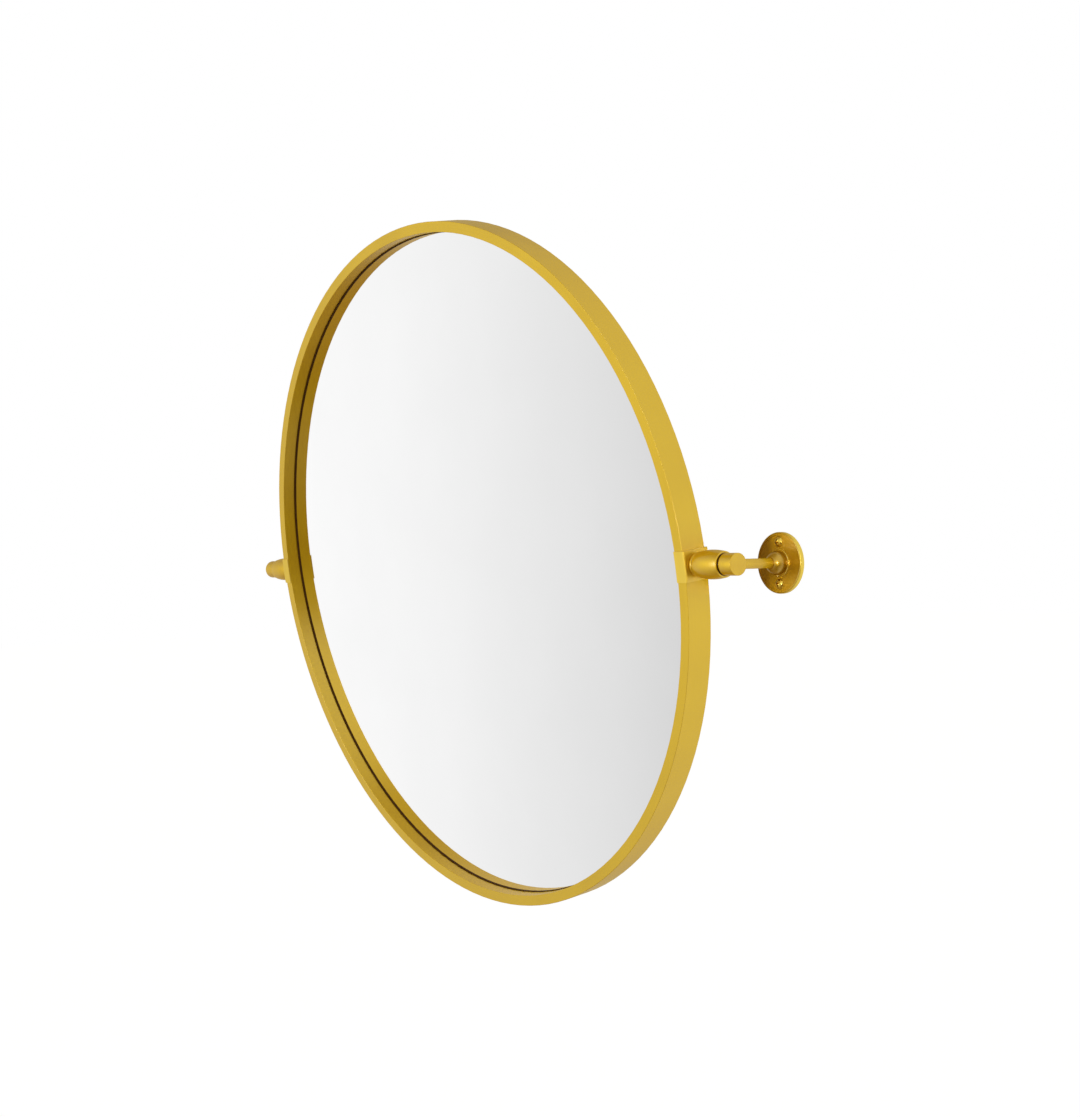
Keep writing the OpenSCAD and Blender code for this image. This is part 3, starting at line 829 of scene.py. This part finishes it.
def make_world():
    """Even white studio: white to the camera, softly shaded by direction for gloss and light."""
    world = bpy.data.worlds.new("studio")
    bpy.context.scene.world = world
    world.use_nodes = True
    n = Nodes(world.node_tree)
    coords = n.add("ShaderNodeTexCoord")
    x, y, z = n.split(coords.outputs["Generated"])
    azimuth = n.math("ARCTAN2", x, n.times(y, -1.0))
    leaning = n.math("SUBTRACT", azimuth, n.times(z, LEAN))
    turn = n.span(leaning, -math.pi, math.pi)

    def band(stops):
        """The studio's brightness round the object at one height."""
        return n.ramp(turn, [((a + 180) / 360, v) for a, v in stops])

    sky = n.mix(n.span(z, 0.0, -0.22), band(SKY_LEVEL), band(SKY_LOW))
    sky = n.mix(n.span(z, -0.40, -0.80), sky, band(SKY_GROUND))
    sky = n.mix(n.span(z, 0.04, 0.24), sky, band(SKY_HIGH))
    sky = n.mix(n.span(z, 0.50, 0.85), sky, band(SKY_TOP))
    shaded = n.add("ShaderNodeBackground", Color=sky, Strength=1.0)
    white = n.add("ShaderNodeBackground", Color=(1, 1, 1, 1), Strength=1.0)
    light_path = n.add("ShaderNodeLightPath")
    mix = n.add("ShaderNodeMixShader")
    n.set(mix, "0", light_path.outputs["Is Camera Ray"])
    n.tree.links.new(shaded.outputs[0], mix.inputs[1])
    n.tree.links.new(white.outputs[0], mix.inputs[2])
    out = n.add("ShaderNodeOutputWorld")
    n.tree.links.new(mix.outputs[0], out.inputs["Surface"])


def make_floor():
    """Pale floor that meets the white background and still takes the object's shadow."""
    mesh = bpy.data.meshes.new("floor")
    h = FLOOR_SIZE / 2
    corners = [(-h, -h, FLOOR_Z), (h, -h, FLOOR_Z), (h, h, FLOOR_Z), (-h, h, FLOOR_Z)]
    mesh.from_pydata(corners, [], [(0, 1, 2, 3)])
    floor = bpy.data.objects.new("floor", mesh)
    bpy.context.scene.collection.objects.link(floor)
    material, n = new_material("floor")
    light_path = n.add("ShaderNodeLightPath")
    seen = n.math("MAXIMUM", light_path.outputs["Is Camera Ray"], light_path.outputs["Is Transmission Ray"])
    pale = n.add("ShaderNodeBsdfDiffuse", Color=rgba(FLOOR_GREY))
    white = n.add("ShaderNodeEmission", Color=(1, 1, 1, 1), Strength=FLOOR_WHITE)
    mix = n.add("ShaderNodeMixShader")
    n.set(mix, "0", n.times(seen, FLOOR_SHARE))
    n.tree.links.new(pale.outputs[0], mix.inputs[1])
    n.tree.links.new(white.outputs[0], mix.inputs[2])
    close_material(n, mix)
    mesh.materials.append(material)
    floor.visible_glossy = False


def place_lamp(data, target, azimuth, elevation, distance):
    """Puts a lamp in one direction from a point of the object, facing it."""
    lamp = bpy.data.objects.new(data.name, data)
    away = direction(azimuth, elevation)
    lamp.location = target + away * distance
    lamp.rotation_euler = away.to_track_quat("Z", "Y").to_euler()
    bpy.context.scene.collection.objects.link(lamp)


def area_light(name, azimuth, elevation, distance, width, height, watts):
    """Strip softbox that lights the whole object from one direction."""
    data = bpy.data.lights.new(name, "AREA")
    data.shape = "RECTANGLE"
    data.size = width
    data.size_y = height
    data.energy = watts
    place_lamp(data, PIVOT, azimuth, elevation, distance)


def spot_light(name, side, azimuth, elevation, distance, radius, cone, watts):
    """Small lamp on one wall bracket, for the glints on its hub and screws."""
    data = bpy.data.lights.new(name, "SPOT")
    data.spot_size = math.radians(cone)
    data.spot_blend = 0.8
    data.shadow_soft_size = radius
    data.energy = watts
    place_lamp(data, Vector((side * ARM_X, 0, 0)) / M, azimuth, elevation, distance)


def make_lights():
    """A strip softbox in front of the mirror, and a small lamp for the right bracket."""
    area_light("key_light", azimuth=-18, elevation=4, distance=2.6, width=0.16, height=1.4, watts=10)
    spot_light("right_glint", side=1, azimuth=45, elevation=1, distance=2.4, radius=0.06, cone=8,
               watts=60)


# ---------------------------------------------------------------- making it


def dress_nodes(materials):
    """Gives every CAD node the material of its slot, and the clips their lighter gold."""
    slots = {s["node"]: s["material_slot"] for s in frame["record"]["subparts"]}
    for name, obj in frame["nodes"].items():
        obj.data.materials.clear()
        slot = "clip_gold" if name.startswith("frame_clip") else slots[name]
        obj.data.materials.append(materials[slot])


make_camera()
make_world()
make_floor()
make_lights()
materials = make_materials()
dress_nodes(materials)
make_pieces(materials)
bpy.context.scene.view_settings.view_transform = "Standard"
